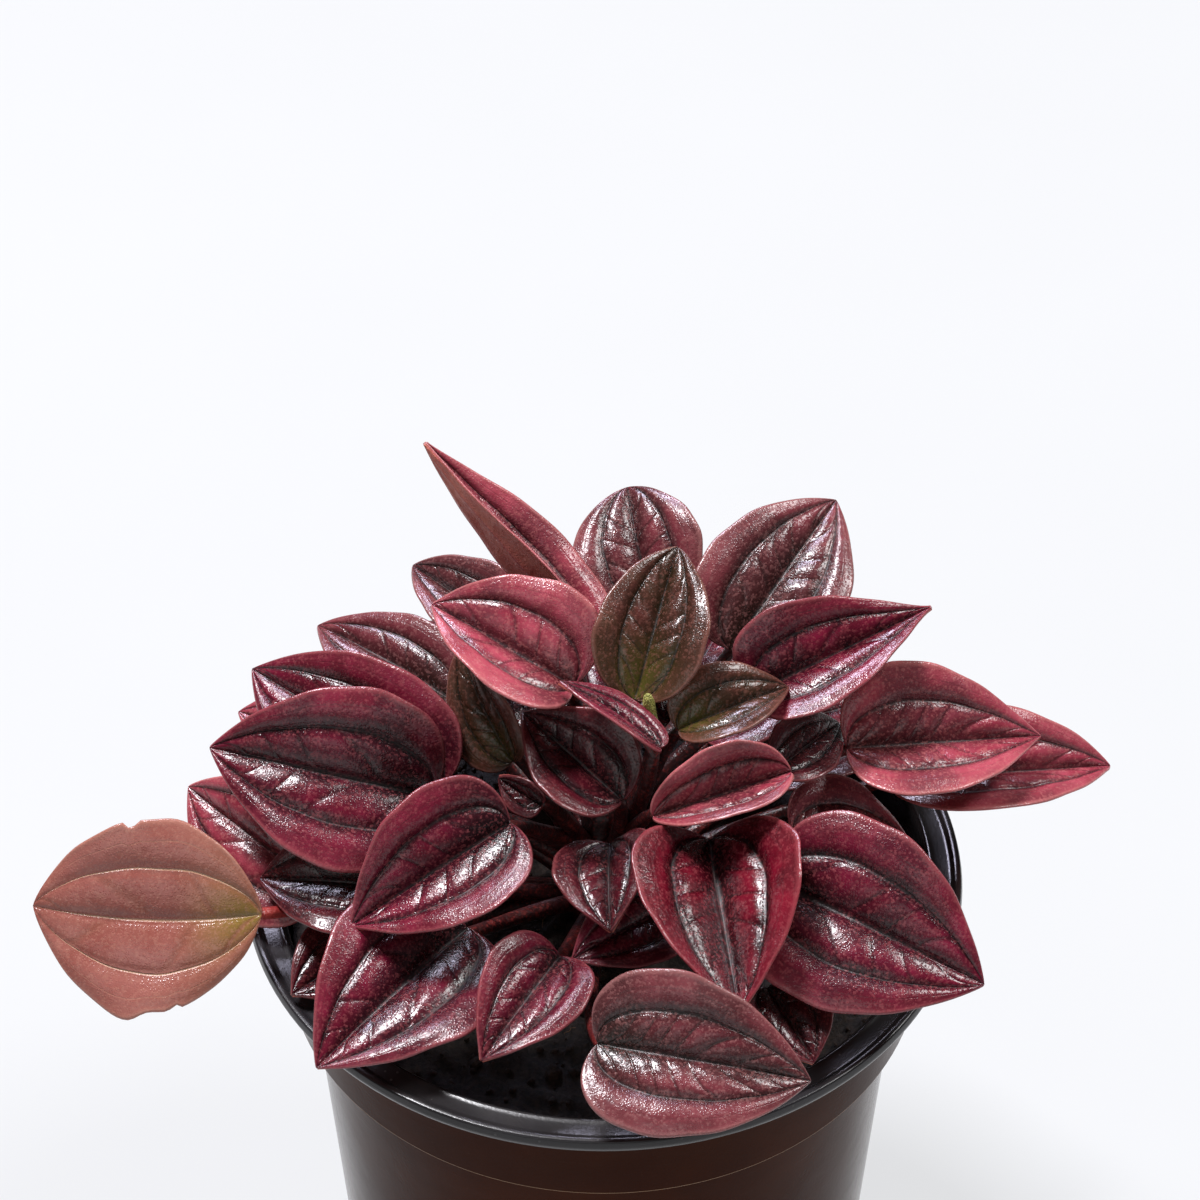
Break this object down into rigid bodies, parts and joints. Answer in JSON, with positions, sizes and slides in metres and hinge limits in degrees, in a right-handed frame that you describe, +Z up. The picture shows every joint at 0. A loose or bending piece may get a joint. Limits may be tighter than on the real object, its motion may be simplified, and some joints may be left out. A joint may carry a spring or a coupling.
{
  "type": "potted peperomia",
  "caption": "Small potted peperomia: a low rosette of dark red, deeply veined leaves on pink stalks, in potting soil in a brown plastic nursery pot that is dark grey inside.",
  "frame": {"origin": "centre of the flat underside of the pot, on the surface that it stands on", "axes": "+Z up along the pot's axis, -Y towards the side that the picture shows, +X to the picture's right"},
  "size_m": [0.178, 0.1264, 0.159],
  "materials": {
    "pot": "glossy brown outside, dark grey inside and on the flange",
    "soil": "loose damp potting mix with grains of perlite",
    "stalk": "smooth translucent pinkish red",
    "leaf": "waxy satin, dark red with almost black veins",
    "leaf_faded": "waxy satin, faded salmon pink",
    "leaf_young": "waxy satin, olive brown",
    "spike": "dull yellow green, finely grained"
  },
  "bodies": {
    "root": {"pot": "pot", "soil": "soil", "crown_and_stalks": "stalk", "leaf_01": "leaf_faded", "leaf_02": "leaf", "leaf_03": "leaf", "leaf_04": "leaf", "leaf_05": "leaf", "leaf_06": "leaf", "leaf_07": "leaf_young", "leaf_08": "leaf", "leaf_09": "leaf", "leaf_10": "leaf", "leaf_11": "leaf", "leaf_12": "leaf_young", "leaf_13": "leaf", "leaf_14": "leaf", "leaf_15": "leaf_young", "leaf_16": "leaf", "leaf_17": "leaf", "leaf_18": "leaf", "leaf_19": "leaf", "leaf_20": "leaf", "leaf_21": "leaf", "leaf_22": "leaf", "leaf_23": "leaf", "leaf_24": "leaf", "leaf_25": "leaf", "leaf_26": "leaf", "leaf_27": "leaf", "leaf_28": "leaf", "leaf_29": "leaf", "leaf_30": "leaf", "leaf_31": "leaf", "leaf_32": "leaf", "leaf_33": "leaf", "leaf_34": "leaf", "leaf_35": "leaf", "leaf_36": "leaf", "leaf_37": "leaf", "leaf_38": "leaf", "leaf_39": "leaf", "leaf_40": "leaf", "flower_spike": "spike"}
  },
  "joints": []
}
